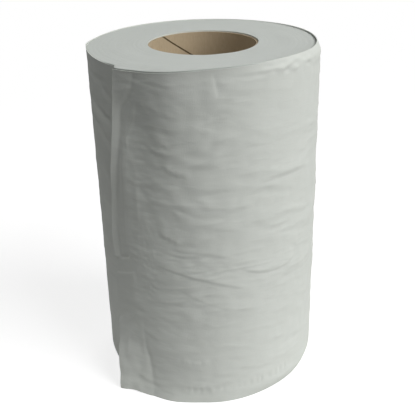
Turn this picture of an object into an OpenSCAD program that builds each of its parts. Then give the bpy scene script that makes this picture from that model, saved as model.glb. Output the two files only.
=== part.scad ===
// A paper towel roll that stands on its end: one long web of crepe paper, wound on a cardboard core.
// Sizes are in millimetres and angles in degrees. +Z is up, the roll's axis is the Z axis, and the
// origin is on the axis, on the surface that the roll stands on. Angles round the roll are counted
// from the front (-Y), positive towards the right (+X).

/* [Roll] */
// Width of the paper web, which is the height of the standing roll
web_w = 195; // [150:1:260]
// Diameter over the outermost turn
roll_d = 128; // [110:1:170]
// Thickness of the loose outer turns, which stand a little above the end face
rim_t = 1.6; // [1.5:0.1:3]
// Height of those turns above the end face, all round
rim_h = 0.4; // [0.3:0.1:1]
// How much higher they stand where their edge has been pulled up, at the right
lip_h = 3; // [0:0.1:5]
// How far the lower edge is knocked in, at the right
scuff = 2.2; // [0:0.1:3]
// How far the lower edge flares out, next to the loose end
flare = 1.8; // [0:0.1:3]

/* [Core] */
// Bore of the cardboard core
core_bore_d = 58; // [40:1:70]
// Thickness of the core's wall
core_wall = 1.2; // [0.8:0.1:2.5]
// How far the core ends below the end face
core_recess = 0.8; // [0:0.1:3]
// Gap between the core and the first turn of paper
core_fit = 0.1; // [0.05:0.05:0.4]
// Width of the cardboard strip that the core is wound from
ply_w = 103; // [80:1:120]
// Width of the open seam between the strip's neighbouring windings
seam_w = 0.7; // [0.5:0.1:1.5]
// Depth of the open seam, which is the thickness of the inner ply
seam_d = 0.3; // [0.2:0.05:0.4]
// Angle at which the seam meets the top of the core
seam_angle = -129; // [-180:1:180]

/* [Turns] */
// Spacing of the gaps between turns that show on the end faces
turn_pitch = 2.6; // [2:0.1:5]
// Width of such a gap at the end face
turn_gap = 0.5; // [0.3:0.1:0.8]
// Depth of such a gap
turn_gap_d = 0.4; // [0.2:0.1:0.8]

/* [Loose end] */
// Angle from the front to the web's edge, towards the left, over the lower half of the roll
tail_angle = 56; // [40:1:80]
// Length of web that lies free of the turn beneath
tail_free = 22; // [20:1:35]
// How far the edge leans back over that length, from mid height to the top
tail_lean = 14.5; // [0:0.5:15]
// Thickness of the loose end
tail_t = 0.5; // [0.3:0.1:0.8]
// Gap between the edge of the loose end and the turn beneath
tail_gap = 0.3; // [0.3:0.1:0.6]
// How far the loose end bulges between its edge and its root
tail_puff = 0.9; // [0:0.1:2]
// How far its lower corner has curled away from the roll
corner_lift = 8.8; // [0:0.2:12]
// Height up to which it has come away
corner_h = 58; // [30:1:62]
// Height of the lower edge of the spot that is pressed down on the roll
tack_z = 65; // [62:1:90]
// Height of that spot
tack_h = 17; // [10:1:25]

/* [Wrinkles] */
// Height of the shallow wrinkles round the outermost turn
wrinkle_h = 0.35; // [0:0.05:0.8]
// Spacing of those wrinkles
wrinkle_pitch = 10; // [9:0.5:20]
// Depth of the long creases
crease_d = 1.1; // [0:0.1:2]
// Half the width of such a crease
crease_w = 2.6; // [2:0.1:5]

/* [Hidden] */

roll_r = roll_d / 2;
core_r = core_bore_d / 2;
core_len = web_w - core_recess;
paper_bore_r = core_r + core_wall + core_fit;
rim_r = roll_r - rim_t;
// The roll's outline steps down by this much under the loose end
step = tail_t + tail_gap;

// The core's strip closes on itself, edge to edge, when it climbs this much in one turn
core_round = PI * core_bore_d;
ply_pitch = ply_w * core_round / sqrt(pow(core_round, 2) - pow(ply_w, 2));
seam_steps = ceil(45 * core_len / ply_pitch);

// The gaps between turns make a spiral of half circles
first_gap_r = paper_bore_r + turn_pitch / 2;
gap_turns = floor((rim_r - turn_gap - first_gap_r) / turn_pitch);

// Angles of the loose end, from its lengths along the outermost turn
deg_per_mm = 180 / (PI * roll_r);
root_angle = -tail_angle + tail_free * deg_per_mm;
slit_stop = 1.5 * deg_per_mm;
// Share of the web's width at which the edge starts to lean
lean_from = 0.45;
// Share of its reach that the loose end loses as it curls up
curl_pull = 0.55;

// Mesh of the outermost turn: columns round the roll, columns across the loose end, and levels
columns = 72;
tail_columns = 4;
levels = ceil(web_w / 3.7);
// The mesh starts below the roll, and is cut off level
spare = 1;
// Depth by which cuts start outside what they cut
eps = 0.2;

// Long creases: the angles between which each runs, its heights there as shares of the web's width,
// and how far it sags between them
creases = [
    [-14, 62, 0.695, 0.71, 1.5],
    [-28, 8, 0.462, 0.405, 1],
    [-16, 40, 0.415, 0.295, 3],
    [12, 60, 0.46, 0.45, 6],
    [-34, -4, 0.78, 0.72, 4],
    [-24, 30, 0.63, 0.64, 2],
    [-26, 44, 0.565, 0.575, 1],
    [86, 150, 0.66, 0.62, 4],
    [170, 250, 0.44, 0.47, 5],
    [200, 270, 0.74, 0.7, 3],
];

function at(a, r, z) = [r * sin(a), -r * cos(a), z];
function clamp01(x) = min(1, max(0, x));
function smooth(x) = let (t = clamp01(x)) t * t * (3 - 2 * t);
// 1 up to a distance half from the middle, falling to 0 over the distance fade
function plateau(d, half, fade) = 1 - smooth((abs(d) - half) / fade);
// Difference of two angles, from -180 to 180
function turn_to(a, b) = let (d = (a - b) % 360) d > 180 ? d - 360 : d < -180 ? d + 360 : d;

// The web's upper edge is level, apart from the lip pulled up at the right
function lip(a) = plateau(turn_to(a, 75), 20, 45) * (0.85 + 0.15 * sin(9 * a));
function top_z(a) = web_w + rim_h + lip_h * lip(a);

// Wrinkles run round the roll, wander up and down, come and go, and fade towards both ends
function wrinkle(a, z) =
    let (drift = 70 * sin(2 * a + 20) + 45 * sin(5 * a - 40))
    let (swell = 0.55 + 0.45 * sin(3 * a + 60 * z / wrinkle_pitch))
    let (fade = smooth(z / wrinkle_pitch) * smooth((web_w - z) / wrinkle_pitch))
    wrinkle_h * swell * fade * sin(360 * z / wrinkle_pitch + drift);

// A crease is a valley with a swell above it, and it dies out at both ends
function crease(a, z, c) =
    let (x = turn_to(a, (c[0] + c[1]) / 2) / ((c[1] - c[0]) / 2))
    let (line = web_w * (c[2] + (c[3] - c[2]) * (x + 1) / 2) - c[4] * (1 - x * x))
    let (d = (z - line) / crease_w)
    abs(x) >= 1 ? 0 : crease_d * smooth(2 - 2 * abs(x)) * (0.6 * exp(-pow((d - 2) / 1.6, 2)) - exp(-d * d));
function creased(a, z, i = 0) = i == len(creases) ? 0 : crease(a, z, creases[i]) + creased(a, z, i + 1);

// The lower edge is knocked in at the right, and flares out next to the loose end
function edge_bent(a, z) =
    flare * plateau(turn_to(a, -30), 8, 16) * pow(clamp01(1 - z / 22), 2)
    - scuff * plateau(turn_to(a, 62), 20, 45) * pow(clamp01(1 - z / (3 * scuff + eps)), 2);

// How far the surface stands out from a plain wound cylinder
function relief(a, z) = wrinkle(a, z) + creased(a, z) + edge_bent(a, z);

// One point of the outermost turn, which is wound in by one step on its way round
function turn_point(a, share) =
    let (z = (top_z(a) + spare) * share - spare)
    at(a, roll_r - step * (a - root_angle) / 360 + relief(a, z), z);

// Angle of the web's edge, which leans back from mid height to the top
function edge_angle(z) =
    -tail_angle + tail_lean * deg_per_mm * pow(clamp01((z / web_w - lean_from) / (1 - lean_from)), 1.6);

// One point of the loose end, a share s of the way from "start" degrees past its root to its edge. It
// bulges a little, apart from the pressed spot, and its lower corner curls away.
function tail_point(s, share, start, depth) =
    let (z = (top_z(-tail_angle) + spare) * share - spare)
    let (loose = pow(clamp01(1 - z / corner_h), 2), curl = corner_lift * loose)
    let (reach = (root_angle - edge_angle(z)) * (1 - curl_pull * curl / (curl + 3)))
    let (past = start + s * (reach - start), u = past / reach, a = root_angle - past)
    let (held = max(loose, plateau(z - tack_z - tack_h / 2, tack_h / 2, 2)))
    let (bulge = tail_puff * (1 - held) * sin(180 * u) + curl * pow(u, 2.2))
    at(a, roll_r + relief(a, z) + bulge - depth, z);

// The closed outline at one level: along the outside of the loose end to its root, round the roll and
// in under the loose end as far as the slit goes, then back out along its inside
function outline(share) = [
    for (i = [tail_columns:-1:1]) tail_point(i / tail_columns, share, 0, 0),
    for (i = [0:columns]) turn_point(root_angle + (360 - slit_stop) * i / columns, share),
    for (i = [0:tail_columns]) tail_point(i / tail_columns, share, slit_stop, tail_t),
];
outline_n = 2 * tail_columns + columns + 2;

// Where the ring of cap points lies, inside the loose outer turns, which the end face's pocket removes
function cap_ring(share) = [
    for (i = [0:columns])
        let (a = root_angle + (360 - slit_stop) * i / columns)
        at(a, rim_r - spare, (top_z(a) + spare) * share - spare)
];

// Faces of a cap, seen clockwise from above. "o" is the outline's first point, "r" the ring's first
// point and "c" the centre. Under the loose end it covers the paper's own thickness only.
function cap_faces(o, r, c) = let (root = o + tail_columns, last = root + columns) concat(
    [for (i = [0:tail_columns - 1]) [o + i, o + outline_n - 1 - i, o + outline_n - 2 - i, o + i + 1]],
    [for (i = [0:columns - 1]) [root + i, r + i, r + i + 1, root + i + 1]],
    [[last, r + columns, r, root, last + 1]],
    [for (i = [0:columns]) [r + i, c, r + (i + 1) % (columns + 1)]]
);
function reversed(faces) = [for (f = faces) [for (i = [len(f) - 1:-1:0]) f[i]]];

module wound_body() {
    ring_at = outline_n * (levels + 1);
    centre_at = ring_at + 2 * (columns + 1);
    polyhedron(
        points = concat(
            [for (k = [0:levels]) each outline(k / levels)],
            cap_ring(0),
            cap_ring(1),
            [[0, 0, -spare], [0, 0, web_w + spare]]
        ),
        faces = concat(
            [
                for (k = [0:levels - 1], i = [0:outline_n - 1])
                    let (j = (i + 1) % outline_n, low = k * outline_n, high = low + outline_n)
                    [low + i, high + i, high + j, low + j]
            ],
            reversed(cap_faces(0, ring_at, centre_at)),
            cap_faces(outline_n * levels, ring_at + columns + 1, centre_at + 1)
        ),
        convexity = 6
    );
}

// Half a turn of the gap between turns, cut down into an end face
module half_gap(r) {
    reach = turn_gap / 2 * (1 + eps / turn_gap_d);
    rotate_extrude(angle = 180, $fn = 120)
        polygon([[r - reach, eps], [r, -turn_gap_d], [r + reach, eps]]);
}

// A two-centre spiral: each half circle starts where the last one ended
module spiral_gap() {
    for (i = [0:gap_turns - 1]) {
        r = first_gap_r + i * turn_pitch;
        rotate([0, 0, 180])
            half_gap(r);
        if (i < gap_turns - 1)
            translate([turn_pitch / 2, 0, 0])
                half_gap(r + turn_pitch / 2);
    }
}

module paper_roll() {
    color([0.89, 0.9, 0.87])
        difference() {
            wound_body();
            translate([-roll_d, -roll_d, -roll_d])
                cube([2 * roll_d, 2 * roll_d, roll_d]);
            translate([0, 0, web_w])
                cylinder(r = rim_r, h = lip_h + rim_h + spare, $fn = 180);
            translate([0, 0, -spare])
                cylinder(r = paper_bore_r, h = web_w + 2 * spare, $fn = 180);
            translate([0, 0, web_w])
                spiral_gap();
            mirror([0, 0, 1])
                spiral_gap();
        }
}

// The open seam of the core's inner ply: a groove that climbs the bore as a right-hand helix
module ply_seam() {
    half_h = seam_w / 2 * sqrt(1 + pow(ply_pitch / core_round, 2));
    turns_up = core_len + 2 * spare;
    polyhedron(
        points = [
            for (k = [0:seam_steps])
                let (z = turns_up * k / seam_steps - spare, a = seam_angle + 360 * (z - core_len) / ply_pitch)
                each [
                    at(a, core_r - spare, z - half_h),
                    at(a, core_r + seam_d, z - half_h),
                    at(a, core_r + seam_d, z + half_h),
                    at(a, core_r - spare, z + half_h),
                ]
        ],
        faces = concat(
            [[0, 3, 2, 1]],
            [
                for (k = [0:seam_steps - 1], i = [0:3])
                    let (j = (i + 1) % 4, low = 4 * k, high = low + 4)
                    [low + i, low + j, high + j, high + i]
            ],
            [[for (i = [0:3]) 4 * seam_steps + i]]
        )
    );
}

module core_tube() {
    color([0.66, 0.54, 0.38])
        difference() {
            cylinder(r = core_r + core_wall, h = core_len, $fn = 180);
            translate([0, 0, -spare])
                cylinder(r = core_r, h = core_len + 2 * spare, $fn = 180);
            ply_seam();
        }
}

core_tube();
paper_roll();
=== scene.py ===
# The looks of a paper towel roll that stands on its end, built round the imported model. Shapes are worked
# out in millimetres. Angles are in degrees round the axis, from the front (-Y), positive to the right (+X).
import math

import bpy
import numpy as np
from mathutils import Matrix, Vector


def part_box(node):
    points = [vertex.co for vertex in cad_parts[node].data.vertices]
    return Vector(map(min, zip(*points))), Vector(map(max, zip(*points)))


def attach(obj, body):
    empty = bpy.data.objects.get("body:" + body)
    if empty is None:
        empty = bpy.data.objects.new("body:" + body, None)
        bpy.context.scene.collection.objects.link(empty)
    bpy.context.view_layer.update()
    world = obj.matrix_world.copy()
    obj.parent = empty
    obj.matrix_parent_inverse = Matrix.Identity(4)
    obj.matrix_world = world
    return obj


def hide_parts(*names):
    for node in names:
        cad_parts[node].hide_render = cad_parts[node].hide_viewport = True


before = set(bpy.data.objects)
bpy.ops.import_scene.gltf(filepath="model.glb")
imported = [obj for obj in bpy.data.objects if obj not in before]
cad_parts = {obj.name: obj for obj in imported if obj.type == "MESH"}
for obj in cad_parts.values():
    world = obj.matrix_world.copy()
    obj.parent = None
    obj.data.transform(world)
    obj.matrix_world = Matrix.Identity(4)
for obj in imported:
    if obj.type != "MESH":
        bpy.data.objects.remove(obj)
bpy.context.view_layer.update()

mm = 0.001
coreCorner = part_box("core_tube")[1] / mm
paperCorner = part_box("paper_roll")[1] / mm
print("frame loaded:", ", ".join(sorted(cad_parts)))

roll = {
    "width": round(coreCorner.z + 0.8, 1),   # of the web: the core ends 0.8 below the end face
    "radius": round(paperCorner.x),          # over the outermost turn
    "bore": coreCorner.x + 0.1,              # where the innermost turn lies on the core
    "step": 0.8,                             # fall of the outline over one turn
}


def eased(x):
    # 0 below 0, 1 above 1, and a smooth rise between
    t = np.clip(x, 0, 1)
    return t * t * (3 - 2 * t)


def plateau(distance, half, fade):
    # 1 up to half away from the middle, falling to 0 over the distance fade
    return 1 - eased((np.abs(distance) - half) / fade)


def turnTo(angle, other):
    # difference of two angles, from -180 to 180
    return (angle - other + 180) % 360 - 180


def curveThrough(x, knots):
    # a smooth curve through given (x, y) knots: cubics that never pass beyond the knots, since the
    # slope at a knot is the harmonic mean of those on both sides, or 0 where these differ in sign
    kx, ky = np.array(knots, float).T
    rise = np.diff(ky) / np.diff(kx)
    same = rise[:-1] * rise[1:] > 0
    total = np.where(same, rise[:-1] + rise[1:], 1)
    slope = np.concatenate((rise[:1], np.where(same, 2 * rise[:-1] * rise[1:] / total, 0), rise[-1:]))
    x = np.clip(x, kx[0], kx[-1])
    i = np.clip(np.searchsorted(kx, x) - 1, 0, len(kx) - 2)
    run = kx[i + 1] - kx[i]
    t = (x - kx[i]) / run
    rise = ky[i + 1] - ky[i]
    bend = (slope[i] * run - rise) * (1 - t) - (slope[i + 1] * run - rise) * t
    return ky[i] + rise * t + t * (1 - t) * bend


def randomField(x, y, seed):
    # smooth random heights from -1 to 1 over a plane, with hills about one unit apart: random slopes on a
    # lattice, blended between its points
    x, y = np.broadcast_arrays(x, y)
    x = x - x.min()
    y = y - y.min()
    i, j = x.astype(int), y.astype(int)
    way = np.random.default_rng(seed).uniform(0, 2 * np.pi, (i.max() + 2, j.max() + 2))
    total = 0
    for di, dj in ((0, 0), (1, 0), (0, 1), (1, 1)):
        dx, dy = x - i - di, y - j - dj
        turned = way[i + di, j + dj]
        weight = eased(1 - np.abs(dx)) * eased(1 - np.abs(dy))
        total = total + weight * (np.cos(turned) * dx + np.sin(turned) * dy)
    return total * 1.5


def toPoints(angle, radius, height):
    # the place at that angle, radius and height, in metres
    turned = np.radians(angle)
    return np.stack((radius * np.sin(turned), -radius * np.cos(turned), height), axis=-1) * mm


def makePiece(name, points, faces, material, uv=None, sharpAngle=50):
    # a mesh from its points and faces, smooth but for its sharp edges
    mesh = bpy.data.meshes.new(name)
    mesh.from_pydata(points, [], faces)
    if uv is not None:
        corners = np.empty(len(mesh.loops), np.int32)
        mesh.loops.foreach_get("vertex_index", corners)
        mesh.uv_layers.new(name="web").data.foreach_set("uv", uv[corners].astype(np.float32).ravel())
    mesh.shade_smooth()
    mesh.set_sharp_from_angle(angle=math.radians(sharpAngle))
    mesh.materials.append(material)
    piece = bpy.data.objects.new(name, mesh)
    bpy.context.scene.collection.objects.link(piece)
    return piece


view = {
    "distance": 444.5,     # from the roll's middle
    "elevation": 24.75,
    "yaw": -0.02,
    "pitch": -0.3,
    "lean": 1.44,
    "lens": 64.03,         # on a sensor 36 wide
}


def placeCamera():
    # looks at the roll's middle from the front, and is then turned by the small angles of the photograph
    data = bpy.data.cameras.new("camera")
    data.lens = view["lens"]
    data.sensor_width = 36
    camera = bpy.data.objects.new("camera", data)
    bpy.context.scene.collection.objects.link(camera)
    lift = math.radians(view["elevation"])
    forward = Vector((0, math.cos(lift), -math.sin(lift)))
    spot = Vector((0, 0, roll["width"] / 2)) - view["distance"] * forward
    right = Vector((1, 0, 0))
    axes = Matrix((right, right.cross(forward), -forward)).transposed()
    for degrees, i in ((view["yaw"], 1), (view["pitch"], 0), (-view["lean"], 2)):
        axes = Matrix.Rotation(math.radians(degrees), 3, axes.col[i]) @ axes
    pose = axes.to_4x4()
    pose.translation = spot * mm
    camera.matrix_world = pose
    bpy.context.scene.camera = camera


placeCamera()
print("camera placed")


class Value:
    # a socket that can stand in sums: value * 2 + other adds the Math nodes

    def __init__(self, nodes, socket):
        self.nodes = nodes
        self.socket = socket

    def math(self, operation, first, second=0.0):
        return self.nodes.add("Math", {"operation": operation}, {0: first, 1: second})

    def __add__(self, other):
        return self.math("ADD", self, other)

    def __sub__(self, other):
        return self.math("SUBTRACT", self, other)

    def __rsub__(self, other):
        return self.math("SUBTRACT", other, self)

    def __mul__(self, other):
        return self.math("MULTIPLY", self, other)

    def __truediv__(self, other):
        return self.math("DIVIDE", self, other)

    def __rtruediv__(self, other):
        return self.math("DIVIDE", other, self)

    def power(self, exponent):
        return self.math("POWER", self, exponent)

    def sine(self):
        return self.math("SINE", self)

    def fraction(self):
        return self.math("FRACT", self)

    __radd__ = __add__
    __rmul__ = __mul__


class Nodes:
    # the node tree of a material, a lamp or the world

    def __init__(self, owner):
        owner.use_nodes = True
        self.tree = owner.node_tree
        self.tree.nodes.clear()

    def add(self, kind, settings=None, sockets=None, output=0):
        # adds a node: its settings first, then the values or links of its sockets; gives one output
        node = self.tree.nodes.new("ShaderNode" + kind)
        for name, value in (settings or {}).items():
            setattr(node, name, value)
        for name, value in (sockets or {}).items():
            socket = node.inputs[name]
            if isinstance(value, Value):
                self.tree.links.new(value.socket, socket)
            elif socket.type == "RGBA":
                socket.default_value = (*value, 1)
            else:
                socket.default_value = value
        return Value(self, node.outputs[output]) if node.outputs else node

    def noise(self, vector, scale, stretch=(1, 1, 1), detail=3.0, roughness=0.5, distortion=0.0):
        # random noise from 0 to 1, stretched along a direction where its factor is below 1
        turned = self.add("VectorMath", {"operation": "MULTIPLY"}, {0: vector, 1: stretch})
        sockets = {"Vector": turned, "Scale": scale, "Detail": detail, "Roughness": roughness}
        return self.add("TexNoise", None, {**sockets, "Distortion": distortion})

    def mix(self, share, first, second):
        # the first colour where share is 0, and the second where it is 1
        return self.add("Mix", {"data_type": "RGBA"}, {0: share, 6: first, 7: second}, output=2)

    def bump(self, height, depth, under=None):
        # depth is the height in metres that a change from 0 to 1 stands for
        sockets = {"Height": height, "Distance": depth, "Strength": 1.0}
        if under is not None:
            sockets["Normal"] = under
        return self.add("Bump", None, sockets)


paper = {
    "colour": (0.738, 0.765, 0.72),
    "shade": (0.682, 0.708, 0.658),      # in the thin and the dusty places
    "cut": (0.655, 0.687, 0.651),        # on the end faces, and in their dusty places; also darker than the side, as painted shade against the lamps' light on the top
    "cutShade": (0.589, 0.618, 0.582),
    "crepePitch": 0.45,                  # between the fine ridges of the crepe, which run up the web
    "crepeDepth": 0.025,
    "fibreDepth": 0.03,
    "puckerDepth": 0.15,                 # small wrinkles between the modelled ones
    "turnPitch": 0.42,                   # between the turns that show on the end faces
    "turnDepth": 0.015,
    "ringDepth": 0.045,                  # turns that stand out or in
}


def crepePaper():
    # the side of the roll; its patterns follow the web's own length and width, in metres
    material = bpy.data.materials.new("crepe_paper")
    nodes = Nodes(material)
    web = nodes.add("UVMap", {"uv_map": "web"})
    perPitch = 1 / (paper["crepePitch"] * mm)
    crepe = nodes.noise(web, perPitch, stretch=(1, 0.12, 1), detail=1.5, distortion=0.3)
    fibre = nodes.noise(web, 2600, detail=4.0, roughness=0.65)
    pucker = nodes.noise(web, 300, stretch=(0.3, 1, 1), detail=2.5, distortion=0.4)
    cloud = nodes.noise(web, 45, stretch=(0.5, 1, 1), detail=3.0)
    patch = (cloud - 0.5) * 0.9 + (fibre - 0.5) * 0.5 + 0.35
    normal = nodes.bump(pucker, paper["puckerDepth"] * mm)
    normal = nodes.bump(crepe, paper["crepeDepth"] * mm, normal)
    normal = nodes.bump(fibre, paper["fibreDepth"] * mm, normal)
    colour = nodes.mix(patch, paper["colour"], paper["shade"])
    sockets = {"Base Color": colour, "Roughness": 0.92, "Specular IOR Level": 0.25, "Normal": normal}
    shader = nodes.add("BsdfPrincipled", None, sockets)
    nodes.add("OutputMaterial", None, {"Surface": shader})
    return material


def flatPlace(nodes, place):
    # the place without its height
    return nodes.add("VectorMath", {"operation": "MULTIPLY"}, {0: place, 1: (1, 1, 0)})


def spiralPhase(nodes, pitch, place):
    # which turn a place on an end face belongs to, counted outwards as the web is wound, and how far
    # across that turn it lies: (radius + pitch * angle / 360) / pitch
    radius = nodes.add("VectorMath", {"operation": "LENGTH"}, {0: flatPlace(nodes, place)}, output="Value")
    parts = nodes.add("SeparateXYZ", None, {0: place})
    x = Value(nodes, parts.socket.node.outputs[0])
    y = Value(nodes, parts.socket.node.outputs[1])
    angle = x.math("ARCTAN2", x, y * -1)
    return radius / (pitch * mm) + angle / (2 * math.pi)


def cutPaper():
    # the end faces: the cut edges of the turns, pressed together
    material = bpy.data.materials.new("cut_paper")
    nodes = Nodes(material)
    place = nodes.add("TexCoord", None, None, output="Object")
    phase = spiralPhase(nodes, paper["turnPitch"], place)
    radius = nodes.add("VectorMath", {"operation": "LENGTH"}, {0: flatPlace(nodes, place)}, output="Value")
    wander = nodes.noise(place, 60, detail=1.0)
    rings = nodes.noise(nodes.add("CombineXYZ", None, {"X": radius + wander * 0.6 * mm}), 900, detail=3.0)
    turns = (phase * (2 * math.pi)).sine()
    uneven = nodes.noise(place, 160, detail=3.0)
    fibre = nodes.noise(place, 1900, detail=4.0, roughness=0.65)
    normal = nodes.bump(turns * uneven, paper["turnDepth"] * mm)
    normal = nodes.bump(rings, paper["ringDepth"] * mm, normal)
    normal = nodes.bump(fibre, paper["fibreDepth"] * 1.6 * mm, normal)
    patch = turns * 0.03 + rings * 0.25 + uneven * 0.4 + (fibre - 0.5) * 0.5 - 0.1
    # the end faces' colours carry painted shade: they are set darker to hold back the lamps' light on the
    # top
    colour = nodes.mix(patch, paper["cut"], paper["cutShade"])
    sockets = {"Base Color": colour, "Roughness": 0.95, "Specular IOR Level": 0.2, "Normal": normal}
    shader = nodes.add("BsdfPrincipled", None, sockets)
    nodes.add("OutputMaterial", None, {"Surface": shader})
    return material


board = {
    "colour": (0.5, 0.405, 0.275),
    "dark": (0.4, 0.315, 0.205),
    "fibreDepth": 0.04,
    "stripWidth": 103.0,        # of the strip that the inner ply is wound from
    "seamWidth": 0.9,           # of the dark line along its open seam: dirt and painted shade
    "seamDirtAndShade": (0.13, 0.095, 0.05),
    "seamAngle": -129.0,        # where the seam meets the top
    "inset": 1.3,               # from the innermost turn of paper to the inner ply's face
}


def coreBoard():
    # kraft board, with fibres that lie along the strip it is wound from
    material = bpy.data.materials.new("core_board")
    nodes = Nodes(material)
    place = nodes.add("TexCoord", None, None, output="Object")
    fibre = nodes.noise(place, 900, stretch=(1, 1, 0.4), detail=5.0, roughness=0.7)
    cloud = nodes.noise(place, 60, detail=3.0)
    patch = (fibre - 0.5) * 1.4 + cloud * 0.6 + 0.1
    colour = nodes.mix(patch, board["colour"], board["dark"])
    # the seam is a helix: its height rises by one pitch over each turn
    around = 2 * math.pi * (roll["bore"] - board["inset"])
    pitch = board["stripWidth"] * around / math.sqrt(around ** 2 - board["stripWidth"] ** 2)
    parts = nodes.add("SeparateXYZ", None, {0: place})
    x, y, z = (Value(nodes, parts.socket.node.outputs[i]) for i in range(3))
    turned = x.math("ARCTAN2", x, y * -1) / (2 * math.pi) - board["seamAngle"] / 360
    off = (turned - (z / mm - coreCorner.z) / pitch + 0.5).fraction() - 0.5
    away = off.math("ABSOLUTE", off) * board["stripWidth"]
    seam = away.math("LESS_THAN", away, board["seamWidth"] / 2)
    # the seam's dark line is dirt and painted shade in the open seam
    colour = nodes.mix(seam, colour, board["seamDirtAndShade"])
    normal = nodes.bump(fibre, board["fibreDepth"] * mm)
    sockets = {"Base Color": colour, "Roughness": 0.85, "Specular IOR Level": 0.3, "Normal": normal}
    shader = nodes.add("BsdfPrincipled", None, sockets)
    nodes.add("OutputMaterial", None, {"Surface": shader})
    return material


looseEnd = {
    "edge": -56.0,         # angle of the web's edge, over the lower half
    "drawn": 2.4,          # degrees by which it is drawn in where it stands up
    "free": 22.0,          # length that lies free of the turn beneath
    "lean": 12.4,          # degrees by which the edge leans back at the top
    "leanFrom": 0.45,      # share of the height where that starts
    "thickness": 0.35,
    # share of the free length that shows, by height, where the lower corner is bent away
    "cornerDrawn": ((0, 0.6), (12, 0.68), (22, 0.76), (32, 0.9), (42, 1)),
    # by height: how flat the corner is, from 0 where it follows the roll to 1, and its slope away from it
    "cornerFlat": ((0, 1), (24, 1), (32, 0.78), (40, 0.58), (46, 0.35), (50, 0)),
    "cornerSlope": ((0, 0.34), (12, 0.22), (24, 0.15), (32, 0.05), (40, 0), (50, 0)),
    "cornerGap": 0.8,      # height of the lower edge over the floor, beside the corner's tip
    "tack": (76.0, 86.0),  # heights between which the end is pressed down
    "tackSlant": 0.42,     # rise of that spot for each degree to the right
    "tackDepth": 0.1,
    "tackLine": 0.65,      # depth of the short line along its top
    "tackGroove": 0.15,    # depth of the groove that runs up from its right side
    "tackSwell": 0.5,      # the end stands out just below it
    "edgeLift": 0.7,       # of the web's edge above that spot, and how far the lift reaches round
    "edgeReach": 3.4,
    "edgeCurl": 1.05,      # the edge itself curls out, over this width
    "edgeCurlWidth": 1.6,
    "edgeGroove": 0.38,    # depth of the groove inside it
    "topRise": 1.7,        # slope of the raised corner at the top
    "topCreaseDepth": 0.3,
    # the crease that bounds that corner: (height, angle)
    "topCrease": ((150, -46), (165, -43.5), (173, -41.5), (179, -37), (187, -33.2), (195, -31.5)),
    "cornerCreaseDepth": 0.5,
    "cornerCrumple": 0.45,
    # the crease where the lower corner turns away from the roll: (height, angle)
    "cornerCrease": ((0, -31), (14, -32.2), (24, -33.6), (33, -35.3), (50, -36.4), (60, -38)),
    # ridges that run up the end: places as (height, angle), height of the ridge, widths of its steep left
    # side and of its gentle right side, and the heights between which it stands
    "ridges": (
        (((146, -38.9), (149, -39.5), (157, -40), (163, -37.6), (170, -35.2), (175, -34.3), (184, -32)),
         0.16, 2, 1.4, 147, 184),
        (((84, -44.2), (120, -43.4), (149, -42.6), (157, -42.2)), 0.42, 3.6, 7.5, 88, 162),
        (((90, -36.6), (96, -36.2), (118, -34.8), (135, -34.8), (145, -36.4), (153, -37.8)),
         0.14, 4, 1.6, 92, 152),
    ),
}
rootAngle = looseEnd["edge"] + math.degrees(looseEnd["free"] / roll["radius"])

# Folds that run round the roll. Each is three places that it passes, as angle and height, the height of its
# step, the width of the step and how far the swell above it reaches.
folds = (
    ((-16, 166), (-7, 165), (4, 165), 0.2, 1.2, 6),
    ((14, 193), (25, 192.3), (36, 193), 0.25, 0.9, 2),
    ((24, 183), (33, 182), (46, 180), 0.16, 1.2, 5),
    ((34, 173), (39, 172.5), (45, 172), 0.14, 1, 4),
    ((-6, 157), (9, 160), (30, 153), 0.22, 2.4, 7),
    ((-28, 161.5), (-21, 158), (-15, 155), 0.36, 0.6, 3),
    ((-31, 157), (-23, 152.8), (-11, 152), 0.34, 0.6, 3),
    ((-22, 146.5), (-16, 143.3), (-6, 141), 0.36, 0.6, 5),
    ((8, 145), (13, 144.5), (20, 144), 0.12, 1, 4),
    ((-12, 133), (5, 134.5), (22, 134), 0.2, 1.8, 5),
    ((19, 134), (40, 136.5), (66, 133), 0.55, 0.6, 6),
    ((-24, 125), (-2, 124), (23, 123), 0.42, 2.2, 6),
    ((-7, 113.5), (5, 112), (18, 109.5), 0.3, 1.6, 5),
    ((-25, 108.3), (-18, 104.8), (-11, 102.6), 0.45, 0.7, 4),
    ((-17, 99.5), (-2, 98), (16, 92.5), 0.3, 1.6, 5),
    ((12, 89.5), (35, 81.5), (52, 85.5), 0.42, 0.8, 6),
    ((-30, 89.5), (-10, 84), (20, 74), 0.3, 0.8, 5),
    ((-20, 79.5), (3, 65.5), (31, 59.8), 0.2, 1, 7),
    ((-16, 58), (-5, 55), (5, 50), 0.26, 1.6, 5),
    ((6, 37.2), (14, 37), (23, 34.5), 0.22, 1, 3.5),
    ((-15.5, 26.5), (-13, 28), (-10.5, 27), 0.32, 0.6, 1.6),
    ((-9.5, 25.5), (-7, 27), (-5, 25.8), 0.32, 0.6, 1.6),
    ((-5, 27), (-2.5, 27.8), (-0.5, 26.5), 0.26, 0.6, 1.6),
    ((8, 24.5), (31, 19.5), (56, 18), 0.24, 1, 5),
    ((33, 122), (38, 122.5), (44, 123), 0.2, 1, 4),
    ((33, 114), (39, 114), (47, 114), 0.2, 1, 4),
    ((33, 71), (39, 69.5), (46, 68), 0.2, 1, 4),
    ((34, 36.5), (39, 35), (45, 33), 0.2, 1, 4),
)

# Valleys that run down to the loose end in the turn beneath it: three places, depth and half width
valleys = (
    ((300, 183), (308, 178), (320, 168), 0.9, 1.9),
    ((280, 171), (296, 167), (316, 160), 1.6, 2.2),
    ((285, 161), (299, 155), (314, 144), 1.2, 2.1),
    ((284, 139), (297, 134), (311, 125), 0.8, 2.1),
    ((282, 187), (295, 184.5), (311, 184), 0.6, 1.5),
    ((285, 118), (298, 115), (311, 108), 0.5, 2.1),
    ((285, 92), (297, 87), (309, 80), 0.45, 2.1),
)

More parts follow.
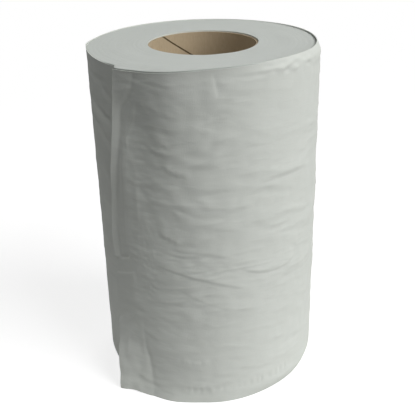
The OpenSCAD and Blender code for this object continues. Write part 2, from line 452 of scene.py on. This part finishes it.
wrinkles = {
    # each kind: height, length round the roll, and pitch up it
    "broad": (0.42, 30, 13),
    "big": (0.36, 21, 5.6),
    "fine": (0.16, 8, 2.4),
    "crumple": (0.19, 7, 6),
    "pucker": (0.16, 6, 2.4),     # only beside the hem
    "stitches": (0.16, 2.2, 2.4),
    "steep": 0.45,        # how much steeper their lower sides are
    # where they are calmer: angle, its half width and fade, height, its half width and fade, and share taken
    "calm": (
        (-24, 8, 12, 160, 26, 16, 0.55),
        (0, 26, 14, 55, 34, 16, 0.35),
        (32, 20, 14, 164, 14, 10, 0.6),
    ),
    "backFolds": 46,      # folds round the back, at random
    "seed": 11,
}

# Hollows: angle and height of the middle, depth, half width in degrees and half height
hollows = (
    (-33.5, 164, 2.2, 11, 21),
    (-24, 182, 0.3, 5, 5),
    (-30, 130, 0.4, 5, 22),
    (-34, 66, 0.5, 6, 10),
    (2, 170, 0.3, 8, 6),
    (14, 150, 0.25, 9, 5),
)

foot = {
    "flare": 2.2,         # the lower edge stands out beside the loose end
    "flareAngle": -28.0,
    "flareHeight": 22,
    "scuff": 2.2,         # and is knocked in at the right
    "scuffAngle": 60.0,
    "scuffHeight": 6.8,
    "leftScuff": 2.6,     # and at the left
    "leftScuffAngle": -82.0,
    "leftScuffHeight": 9,
    "crimpPitch": 4.2,    # a row of small dents, just above it
    "crimpHeight": 9.2,
    "crimpDepth": 0.15,
}


def backFolds():
    # random folds for the part of the roll that faces away, in the form of the list above
    rng = np.random.default_rng(wrinkles["seed"])
    made = []
    for _ in range(wrinkles["backFolds"]):
        middle, length = rng.uniform(78, 285), rng.uniform(12, 34)
        height, slant, sag = rng.uniform(10, 186), rng.normal(0, 2.5), rng.normal(1.5, 2)
        start = (middle - length / 2, height - slant + sag)
        stop = (middle + length / 2, height + slant + sag)
        step, width, swell = rng.uniform(0.15, 0.45), rng.uniform(0.9, 1.8), rng.uniform(4, 7)
        made.append((start, (middle, height), stop, step, width, swell))
    return tuple(made)


def aboveParabola(angle, z, places):
    # the height over the parabola through three places, and a share that fades out at both of its ends
    (a0, z0), (a1, z1), (a2, z2) = places
    line = z0 * (angle - a1) * (angle - a2) / ((a0 - a1) * (a0 - a2))
    line = line + z1 * (angle - a0) * (angle - a2) / ((a1 - a0) * (a1 - a2))
    line = line + z2 * (angle - a0) * (angle - a1) / ((a2 - a0) * (a2 - a1))
    along = np.abs(2 * angle - a0 - a2) / (a2 - a0)
    return z - line, eased(1.7 * (1 - along))


def foldHeight(angle, z, fold):
    # a fold steps out as it is passed on the way up, and its swell then falls back
    *places, step, width, swell = fold
    d, share = aboveParabola(angle, z, places)
    rise = eased((d + width) / (1.5 * width))
    fall = np.exp(-((np.maximum(d, 0) / swell) ** 1.6))
    return step * share * rise * fall


def valleyDepth(angle, z, valley):
    # its depth times a bell over the distance from its line
    *places, depth, width = valley
    d, share = aboveParabola(angle, z, places)
    return depth * share * np.exp(-((d / width) ** 2))


def wrinkleHeight(angle, z):
    # shallow wrinkles: random hills that are long round the roll and close together up it, which hang a
    # little at the front, come and go, and fade out at both ends
    arc = np.radians(angle) * roll["radius"]
    hung = z - 7 * np.exp(-(((angle - 22) / 30) ** 2)) * np.clip(1 - np.abs(z - 80) / 90, 0, 1)
    wander = randomField(arc / 34, z / 22, 21)
    total = 0
    for name, seed in (("broad", 22), ("big", 23), ("fine", 24), ("crumple", 25)):
        height, reach, pitch = wrinkles[name]
        up = hung / pitch + 1.1 * wander
        hills = randomField(arc / reach, up, seed)
        steep = randomField(arc / reach, up + wrinkles["steep"] * hills, seed)
        here = 0.35 + 0.65 * eased(0.62 + 0.9 * randomField(arc / 45, z / 20, seed + 10))
        for middle, half, fade, level, tall, fadeUp, taken in wrinkles["calm"] if name != "fine" else ():
            calm = taken * plateau(turnTo(angle, middle), half, fade) * plateau(z - level, tall, fadeUp)
            here = here * (1 - calm)
        total = total + height * steep * here
    height, reach, pitch = wrinkles["pucker"]
    beside = plateau(turnTo(angle, -25), 8, 12) * plateau(z - 152, 30, 22)
    total = total + height * beside * randomField(arc / reach + 0.5 * wander, hung / pitch + wander, 26)
    height, reach, pitch = wrinkles["stitches"]
    beside = plateau(turnTo(angle, -30.5), 2.5, 4) * plateau(z - 92, 18, 12)
    total = total + height * beside * randomField(arc / reach, z / pitch, 27)
    ends = eased((z + 2) / 12) * eased((roll["width"] + 1 - z) / 9)
    return ends * total * (1 - 0.5 * plateau(turnTo(angle, -85), 30, 15))


def hollowDepth(angle, z):
    # shallow hollows, most of them where the hem pulls at the web
    total = 0
    for middle, height, depth, width, tallness in hollows:
        across = turnTo(angle, middle) / width
        total = total + depth * np.exp(-(across ** 2) - ((z - height) / tallness) ** 2)
    return total


def footShape(angle, z):
    # the lower edge stands out beside the loose end, and is knocked in at the right
    out = plateau(turnTo(angle, foot["flareAngle"]), 5, 20) * eased(turnTo(angle, -44) / 13)
    out = out * np.clip(1 - z / foot["flareHeight"], 0, 1) ** 2
    into = plateau(turnTo(angle, foot["scuffAngle"]), 20, 40)
    into = foot["scuff"] * (into * np.clip(1 - z / foot["scuffHeight"], 0, 1) ** 1.6)
    left = plateau(turnTo(angle, foot["leftScuffAngle"]), 16, 14)
    left = left * np.clip(1 - z / foot["leftScuffHeight"], 0, 1) ** 1.4
    into = into + foot["leftScuff"] * left
    arc = np.radians(angle) * roll["radius"]
    wave = randomField(arc / 7, z * 0, 33)
    row = np.exp(-(((z - foot["crimpHeight"] - 0.07 * angle - 1.1 * wave) / 2) ** 2))
    row = row * plateau(turnTo(angle, 12), 28, 12)
    drift = 4.5 * randomField(arc / 9, z * 0, 31) + 0.25 * np.abs(z - 9)
    uneven = 0.2 + 1.5 * np.abs(randomField(arc / 6, z * 0, 32))
    crimp = row * uneven * np.cos(2 * np.pi * arc / foot["crimpPitch"] + drift)
    return foot["flare"] * out - into + foot["crimpDepth"] * crimp


rim = {
    # height of the web's edge over the end face: low at the front left, pulled up at the right
    "heights": (
        (-180, 0.2), (-110, 0.2), (-76, 0.3), (-60, -0.2), (-45, -1.0), (-31, -1.4), (-20, -1.0), (-6, 0.1),
        (5, 0.9), (15, 1.3), (23, 1.6), (29, 2.2), (40, 2.1), (62, 1.4), (75, 1.0), (90, 0.7), (105, 0.5),
        (128, 0.3), (145, 0.2), (180, 0.2),
    ),
    # the turns beneath stand higher at the front, by this much at their outer edge
    "raised": (
        (-180, 0), (-80, 0), (-48, -0.4), (-31, -0.5), (-16, 0.2), (0, 1.2), (12, 1.9), (24, 2), (36, 1.2),
        (48, 0.3), (60, 0), (180, 0),
    ),
    "raisedWidth": 9.0,
    # how far the outermost turn stands off from them at its edge
    "gap": (
        (-180, 0.1), (-60, 0.1), (-45, 0.3), (-30, 0.3), (-10, 0.2), (20, 0.2), (30, 0.1), (84, 0.1),
        (94, 0.15), (106, 0.15), (118, 0.1), (180, 0.1),
    ),
    # how far the edge leans in over the end face
    "lean": (
        (-180, 0), (22, 0), (30, 0.5), (42, 1.4), (54, 2.0), (78, 2.0), (92, 1.7), (104, 1.0), (118, 0.3),
        (130, 0), (180, 0),
    ),
    "leanDepth": 4.2,       # and how far down that reaches
    "dents": 0.8,           # small dents below it
    "dentsAngle": 46.0,
    "burr": 0.3,            # how far the cut edge stands out at the front left
    "burrAngle": -26.0,
    "corner": 0.9,          # at the left it stands out in a blunt corner, with a flat beyond it
    "cornerAngle": -92.0,
    "flatAngle": -115.0,
    "flare": 1.3,           # widening of the upper end beside the hem
    "flareAngle": -27.0,
    "pleat": 0.24,          # a small pleat below the edge, just right of the front
    "pleatAngle": 3.2,
}


def rimHeight(angle):
    # the height of the web's upper edge
    return roll["width"] + curveThrough(turnTo(angle, 0), rim["heights"])


def blunt(angle):
    # the blunt corner of the rim at the left, and the flat beyond it
    out = np.exp(-((turnTo(angle, rim["cornerAngle"]) / 7) ** 2))
    flat = np.exp(-((turnTo(angle, rim["flatAngle"]) / 12) ** 2))
    return rim["corner"] * (out - 0.6 * flat)


def rimFlare(angle, z):
    # the upper end widens a little beside the hem
    return rim["flare"] * plateau(turnTo(angle, rim["flareAngle"]), 9, 18) * eased((z - 160) / 35)


def rimShape(angle, z):
    # near its edge the web leans in at the right; at the front left its edge stands out a little
    down = rimHeight(angle) - z
    lean = curveThrough(turnTo(angle, 0), rim["lean"]) * np.clip(1 - down / rim["leanDepth"], 0, 1) ** 1.25
    burr = rim["burr"] * np.exp(-down / 1.7) * plateau(turnTo(angle, rim["burrAngle"]), 32, 20)
    burr = burr + blunt(angle) * np.exp(-down / 9)
    across = turnTo(angle, rim["pleatAngle"] + 0.16 * down)
    pleat = eased(across / 0.6 + 0.5) * np.exp(-np.maximum(across, 0) / 2.2) * plateau(down - 8, 3, 4)
    dents = randomField(angle / 5.5, down / 3.2, 61) * plateau(turnTo(angle, rim["dentsAngle"]), 14, 10)
    dents = dents * plateau(down - 4.5, 1, 3)
    return burr + rimFlare(angle, z) - rim["pleat"] * pleat - lean + rim["dents"] * dents


def edgeAngle(z):
    # the web's edge leans back from mid height to the top
    t = np.clip((z / roll["width"] - looseEnd["leanFrom"]) / (1 - looseEnd["leanFrom"]), 0, 1)
    return looseEnd["edge"] + looseEnd["lean"] * t ** 1.6 + looseEnd["drawn"] * eased((z - 64) / 16)


def hemShape(angle, z):
    # the puckered hem above the pressed spot: the web's edge stands up, ridges run along it, and its top
    # corner is raised
    arc = math.radians(roll["radius"])
    slant = looseEnd["tackSlant"] * (angle + 48)
    above = eased((z - looseEnd["tack"][1] - slant + 1.5) / 3)
    inward = (angle - edgeAngle(z)) * arc
    crease = curveThrough(z, looseEnd["topCrease"])
    across = (crease - angle) / (crease - edgeAngle(z))
    corner = eased((z - 158) / 14)
    relief = looseEnd["edgeLift"] * plateau(inward, 0.4, looseEnd["edgeReach"]) * (1 - corner)
    relief = relief - looseEnd["edgeGroove"] * np.exp(-(((inward - 4.2) / 2.2) ** 2)) * (1 - corner)
    relief = relief + looseEnd["topRise"] * np.log1p(np.exp(9 * np.clip(across, -1, 1.1))) / 9 * corner
    valley = looseEnd["topCreaseDepth"] * np.exp(-(((crease - angle) / 1.4) ** 2))
    relief = relief - valley * plateau(z - 179, 9, 10)
    curl = looseEnd["edgeCurl"] * (1 - 0.6 * corner) * (1 + 0.25 * randomField(z / 16, 0 * z, 58))
    relief = relief + curl * np.exp(-inward / looseEnd["edgeCurlWidth"])
    for places, height, left, right, bottom, top in looseEnd["ridges"]:
        across = (angle - curveThrough(z, places)) * arc
        uneven = 1 + 0.9 * randomField(z / 11, across / 80, 51 + int(top))
        ends = eased((z - bottom) / 10) * eased((top - z) / 14)
        side = np.where(across < 0, eased(1 + across / left), eased(1 - across / right))
        relief = relief + height * uneven * ends * side
    return above * relief


def cornerShape(angle, z):
    # below the pressed spot the end stands off a little, and its lower corner turns away from the roll at a
    # crease. q is 0 at the crease and 1 at the web's edge.
    slant = looseEnd["tackSlant"] * (angle + 48)
    crease = curveThrough(z, looseEnd["cornerCrease"]) + 0.8 * randomField(z / 9, 0 * z, 72)
    q = np.clip((crease - angle) / (crease - looseEnd["edge"]), 0, 1.2)
    under = looseEnd["tack"][0] + slant - z
    swell = looseEnd["tackSwell"] * eased(under / 1.3 + 0.5) * np.exp(-((np.maximum(under, 0) / 9) ** 2))
    swell = swell * eased(q * 6)
    over = z - looseEnd["tack"][1] - slant
    groove = plateau(z - 82 - slant, 5, 4) * np.exp(-(((angle + 39.8) / 0.9) ** 2))
    line = looseEnd["tackLine"] * np.exp(-((over / 0.9) ** 2)) * plateau(angle + 46.5, 2.5, 1.5)
    sunk = looseEnd["tackDepth"] * eased(0.5 - over / 1.3) * eased(under / -1.3 + 0.5)
    sunk = sunk * eased((-39.5 - angle) / 1.5)
    top = 49 - 16 * np.clip(q - 0.55, 0, 1)
    lean = np.clip((top - z) / top, 0, 1)
    lower = z + 49 - top
    valley = looseEnd["cornerCreaseDepth"] * np.exp(-(((angle - crease) / 1.2) ** 2))
    valley = valley * eased((z - 6) / 16) * lean ** 0.4
    crumple = randomField(angle / 5, z / 8, 71) * lean ** 0.5 * eased(q * 3)
    arc = math.radians(roll["radius"]) * np.maximum(crease - angle, 0)
    flat = curveThrough(lower, looseEnd["cornerFlat"]) * arc ** 2 / (2 * roll["radius"])
    bent = curveThrough(lower, looseEnd["cornerSlope"]) * arc
    pressed = swell - sunk - line - looseEnd["tackGroove"] * groove
    return pressed + flat + bent + looseEnd["cornerCrumple"] * crumple - valley


web = {
    "rows": 190,
    "closerRows": 0.9,     # share by which the rows are closer together beside the pressed spot
    # rows of the inner side, which is coarser: heights from, to and step, and a few more
    "innerRows": ((0, 70, 6), (70, 94, 1), (96, 186, 6), (186, 196, 2)),
    "innerExtra": (0.8, 2, 194),
    "looseColumns": 44,
    "tuck": 3.0,           # how far the turn runs on past the root, under itself
    "tuckFrom": 338.0,     # where its relief starts to fade for that, and over how many degrees
    "tuckFade": 20.0,
    "wall": 0.75,          # more thickness where the turns beneath lie close
    "wallDeep": 0.9,       # and yet more away from the ends of the roll
}


def webSurface(s, share):
    # the outer side of the outermost turn. s goes from -1 at the web's edge to 0 at the root of the loose
    # end, and is then the angle past the root; share is the share of the height. The radius is that of the
    # spiral, plus wrinkles, folds, rim, hem and corner, which fade under the loose end, plus the foot, less
    # the hollows.
    loose = np.clip(-s, 0, 1)
    past = np.maximum(s, 0)
    freeTop = rootAngle - edgeAngle(roll["width"])
    z = share * rimHeight(rootAngle + past - loose * freeTop)
    raised = np.exp(-(((rootAngle + past - 12 * loose + 41) / 5) ** 2)) * np.clip(1 - z / 14, 0, 1) ** 1.5
    z = z + looseEnd["cornerGap"] * raised
    pulled = curveThrough(z, looseEnd["cornerDrawn"])
    angle = rootAngle + past - loose * (rootAngle - edgeAngle(z)) * pulled
    radius = roll["radius"] - roll["step"] * past / 360
    tucked = eased((past - web["tuckFrom"]) / web["tuckFade"])
    relief = wrinkleHeight(angle, z) * (1 - 0.7 * loose)
    for fold in folds + backFolds():
        relief = relief + foldHeight(angle, z, fold)
    for valley in valleys:
        relief = relief - valleyDepth(angle, z, valley)
    relief = relief + rimShape(angle, z)
    near = plateau(angle - rootAngle, 30, 6) * (angle < 100)
    relief = relief + near * (hemShape(angle, z) + cornerShape(angle, z))
    relief = relief * (1 - tucked) + footShape(angle, z) - hollowDepth(angle, z)
    return angle, radius + relief - 0.3 * tucked, z


def outerTurn(material):
    # a closed thin shell: the web's outer side, its upper edge, a coarser inner side at the same angles,
    # which lies in by the web's depth, and its lower edge
    looseSteps = -1 + np.linspace(0, 1, web["looseColumns"]) ** 1.15
    front = np.linspace(0, 130, 175)[1:]
    back = np.linspace(130, 300, 100)[1:]
    left = np.linspace(300, 360 + web["tuck"], 78)[1:]
    s = np.concatenate((looseSteps, front, back, left))[None, :]
    rows = web["rows"]
    evenly = np.linspace(0, 1, 4000)
    closer = 1 + web["closerRows"] * plateau(evenly * roll["width"] - 80, 12, 10)
    closer = closer + 0.6 * eased((evenly - 0.94) / 0.04) + 0.4 * eased((0.08 - evenly) / 0.05)
    total = np.cumsum(closer)
    share = np.interp(np.linspace(0, 1, rows), (total - total[0]) / (total[-1] - total[0]), evenly)[:, None]
    angle, radius, z = webSurface(s, share)
    heights = [np.arange(*span) for span in web["innerRows"]] + [web["innerExtra"]]
    nearest = np.searchsorted(share[:, 0] * roll["width"], np.concatenate(heights))
    inner = sorted({*np.clip(nearest, 0, rows - 1).tolist(), rows - 2, rows - 1})
    past = np.maximum(s, 0)
    hidden = eased((past - web["tuck"]) / 10) * np.clip(1 - past / 345, 0, 1)
    deep = plateau(z[inner] - roll["width"] / 2, roll["width"] / 2 - 14, 12)
    below = eased((rimHeight(angle[inner]) - z[inner] - 0.1) / 3)
    covered = eased((past - web["tuck"]) / 10) * eased((350 - past) / 10)
    depth = looseEnd["thickness"] + web["wall"] * hidden * below + web["wallDeep"] * deep * covered
    outer = toPoints(angle, radius, z)
    inside = toPoints(angle[inner], radius[inner] - depth, z[inner])
    points = np.concatenate((outer, inside[::-1]))
    loop, columns = points.shape[:2]
    k = np.arange(loop)[:, None]
    c = np.arange(columns - 1)[None, :]
    nextK = (k + 1) % loop
    here, beyond = k * columns + c, nextK * columns + c
    quads = np.stack((here, here + 1, beyond + 1, beyond), axis=-1)
    # each end is closed by triangles between its outer points and its fewer inner ones
    place = np.searchsorted(inner, np.arange(rows))
    innerAt = loop - 1 - place
    j = np.arange(rows - 1)
    steps = j[np.diff(place) > 0]
    ends = []
    for column, order in ((0, 1), (columns - 1, -1)):
        first = np.stack((j, j + 1, innerAt[j + 1]), axis=-1)[:, ::order]
        second = np.stack((steps, innerAt[steps + 1], innerAt[steps]), axis=-1)[:, ::order]
        ends += (first * columns + column).tolist() + (second * columns + column).tolist()
    length = np.radians(angle) * roll["radius"] * mm
    uvOuter = np.stack((length, z * mm), axis=-1)
    uv = np.concatenate((uvOuter, uvOuter[inner][::-1])).reshape(-1, 2)
    faces = quads.reshape(-1, 4).tolist() + ends
    return makePiece("outer_turn", points.reshape(-1, 3), faces, material, uv)


body = {
    "columns": 360,
    "topRings": 84,
    "bottomRings": 46,
    "behind": 0.45,        # from the outline to the outer edge of the end faces
    "ripplePitch": 2.6,    # of the turns that show
    "ripple": 0.035,
    "telescope": 0.02,     # uneven ends of the turns
    "unevenness": 0.25,    # slow rise and fall of the end faces
    # rings of the side: how far down from the shoulder, then their heights, and how far in each one lies
    "sideDown": (0.8, 2, 8),
    "sideHeights": (90, 8, 2, 0.7),
    "sideIn": (0.1, 0.5, 4.6, 4.6, 3.8, 0.5, 0.1),
}


def endFace(angle, radius, seed):
    # heights of the cut edges: a spiral of shallow ripples, and turns that stand out or in by random amounts
    phase = radius / body["ripplePitch"] + angle / 360
    groove = np.abs(np.sin(np.pi * phase)) ** 0.5
    stagger = randomField(phase * 1.7, np.abs(turnTo(angle, 0)) / 200, seed)
    soft = randomField(radius / 11, np.abs(turnTo(angle, 20)) / 40, seed + 1)
    return body["ripple"] * (groove - 1) + body["telescope"] * stagger + body["unevenness"] * soft


def underRim(angle):
    # the radius just under the outermost turn at its upper edge, a little smoothed
    s = np.concatenate((np.linspace(-1, 0, 30), np.arange(1, 353)))[None, :]
    turned, radius, _ = webSurface(s, np.ones((1, 1)))
    first = turned[0, 0]
    past = turned[0] - first
    around = [np.interp((angle + step - first) % 360, past, radius[0], period=360) for step in (-1, 0, 1)]
    return sum(around) / 3 - looseEnd["thickness"]


def woundTurns(material):
    # all turns beneath the outermost one, as a closed ring: a profile of rings is carried round the axis
    angle = np.linspace(-180, 180, body["columns"], endpoint=False)[None, :]
    flat = np.ones_like(angle)
    past = (angle - rootAngle - 2 * web["tuck"]) % 360
    outline = roll["radius"] - body["behind"] - roll["step"] * past / 360
    top = roll["width"]
    lean = curveThrough(angle, rim["lean"])
    drop = 0.2 + 0.95 * lean * (1 - 0.75 * plateau(angle - 102, 18, 16))
    edge = underRim(angle) - curveThrough(angle, rim["gap"])
    r = roll["bore"] + (edge - roll["bore"]) * np.linspace(0, 1, body["topRings"])[:, None]
    shoulder = np.clip(1 - (edge - r) / (0.8 + 0.85 * lean), 0, 1) ** 1.6
    raised = curveThrough(angle, rim["raised"]) * eased(1 - (edge - r) / rim["raisedWidth"])
    topZ = top + endFace(angle, r, 41) + raised - drop * shoulder
    shoulderZ = top + curveThrough(angle, rim["raised"]) - drop
    sideZ = [shoulderZ - down for down in body["sideDown"]]
    sideZ = np.concatenate(sideZ + [flat * height for height in body["sideHeights"]])
    sideIn = np.array(body["sideIn"])[:, None]
    upper = sideZ > roll["width"] / 2
    sideR = np.where(upper, edge, outline + footShape(angle, sideZ)) - sideIn
    bottomR = roll["bore"] + (outline - roll["bore"]) * np.linspace(1, 0, body["bottomRings"])[:, None]
    bottomEdge = footShape(angle, 0 * angle) * np.clip(1 - (outline - bottomR) / 6, 0, 1)
    bottomZ = np.maximum(0, 0.35 - body["ripple"] + endFace(angle, bottomR, 43))
    boreZ = np.array([0.02, 0.5, 0.98])[:, None] * top * flat
    radius = np.concatenate((r, sideR, bottomR + bottomEdge, roll["bore"] * np.ones_like(boreZ)))
    height = np.concatenate((topZ, sideZ, bottomZ, boreZ))
    points = toPoints(angle, radius, height)
    rings, columns = points.shape[:2]
    k = np.arange(rings)[:, None]
    c = np.arange(columns)[None, :]
    nextK, nextC = (k + 1) % rings, (c + 1) % columns
    here, beyond = k * columns, nextK * columns
    quads = np.stack((here + c, beyond + c, beyond + nextC, here + nextC), axis=-1)
    return makePiece("wound_turns", points.reshape(-1, 3), quads.reshape(-1, 4), material)


light = {
    # the soft lamps: angle, elevation and distance from the roll's middle, size and power. The one at the
    # back is weak, and only there for views from behind.
    "key": (59, 34, 2200, 1760, 48),
    "fill": (-60, 58, 3000, 2400, 25),
    "back": (165, 16, 3000, 1600, 20),
    "floorReach": 300,       # the floor's paleness fades out over this distance
    "floorColour": (0.6, 0.6, 0.6),
    "floorWhite": 0.7,       # what the camera sees of the floor in the roll's shadow
}


def placeLamp(name):
    angle, lift, distance, size, power = light[name]
    data = bpy.data.lights.new(name, "AREA")
    data.size = size * mm
    data.energy = power
    lamp = bpy.data.objects.new(name, data)
    bpy.context.scene.collection.objects.link(lamp)
    turned, lifted = math.radians(angle), math.radians(lift)
    level = math.cos(lifted)
    way = Vector((math.sin(turned) * level, -math.cos(turned) * level, math.sin(lifted)))
    lamp.location = (Vector((0, 0, roll["width"] / 2)) + way * distance) * mm
    lamp.rotation_euler = way.to_track_quat("Z", "Y").to_euler()


def seenDirectly(nodes):
    # 1 for rays from the camera, a mirror or glass, and 0 for the light that falls on the object
    path = nodes.add("LightPath")
    outputs = path.socket.node.outputs
    camera, glossy, through = (Value(nodes, outputs["Is " + name + " Ray"]) for name in
                               ("Camera", "Glossy", "Transmission"))
    return path.math("MAXIMUM", path.math("MAXIMUM", camera, glossy), through)


def makeWorld():
    # white where it is seen, and no light on the object
    world = bpy.data.worlds.new("world")
    bpy.context.scene.world = world
    nodes = Nodes(world)
    background = nodes.add("Background", None, {"Color": (1, 1, 1), "Strength": seenDirectly(nodes)})
    nodes.add("OutputWorld", None, {"Surface": background})


def makeFloor():
    # pale near the roll; seen directly it is white, but for the roll's shadow
    reach = 3000 * mm
    corners = [(-reach, -reach, 0), (reach, -reach, 0), (reach, reach, 0), (-reach, reach, 0)]
    material = bpy.data.materials.new("floor")
    nodes = Nodes(material)
    place = nodes.add("TexCoord", None, None, output="Object")
    away = nodes.add("VectorMath", {"operation": "LENGTH"}, {0: place}, output="Value")
    near = 1 / (1 + (away / (light["floorReach"] * mm)).power(4))
    direct = seenDirectly(nodes)
    pale = nodes.mix(near, (0, 0, 0), light["floorColour"])
    diffuse = nodes.add("BsdfDiffuse", None, {"Color": pale})
    strength = direct * (1 - near * (1 - light["floorWhite"]))
    glow = nodes.add("Emission", None, {"Color": (1, 1, 1), "Strength": strength})
    nodes.add("OutputMaterial", None, {"Surface": nodes.add("AddShader", None, {0: diffuse, 1: glow})})
    floor = makePiece("floor", np.array(corners) - (0, 0, 0.1 * mm), [(0, 1, 2, 3)], material)


bpy.context.scene.view_settings.view_transform = "Standard"
for name in ("key", "fill", "back"):
    placeLamp(name)
makeWorld()
makeFloor()
print("lamps, world and floor made")

outer = outerTurn(crepePaper())
print("outermost turn made:", len(outer.data.polygons), "faces")
wound = woundTurns(cutPaper())
print("turns beneath made:", len(wound.data.polygons), "faces")
for piece in (outer, wound):
    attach(piece, "root")
    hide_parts("paper_roll")

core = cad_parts["core_tube"]
core.data.materials.clear()
core.data.materials.append(coreBoard())
print("core finished")
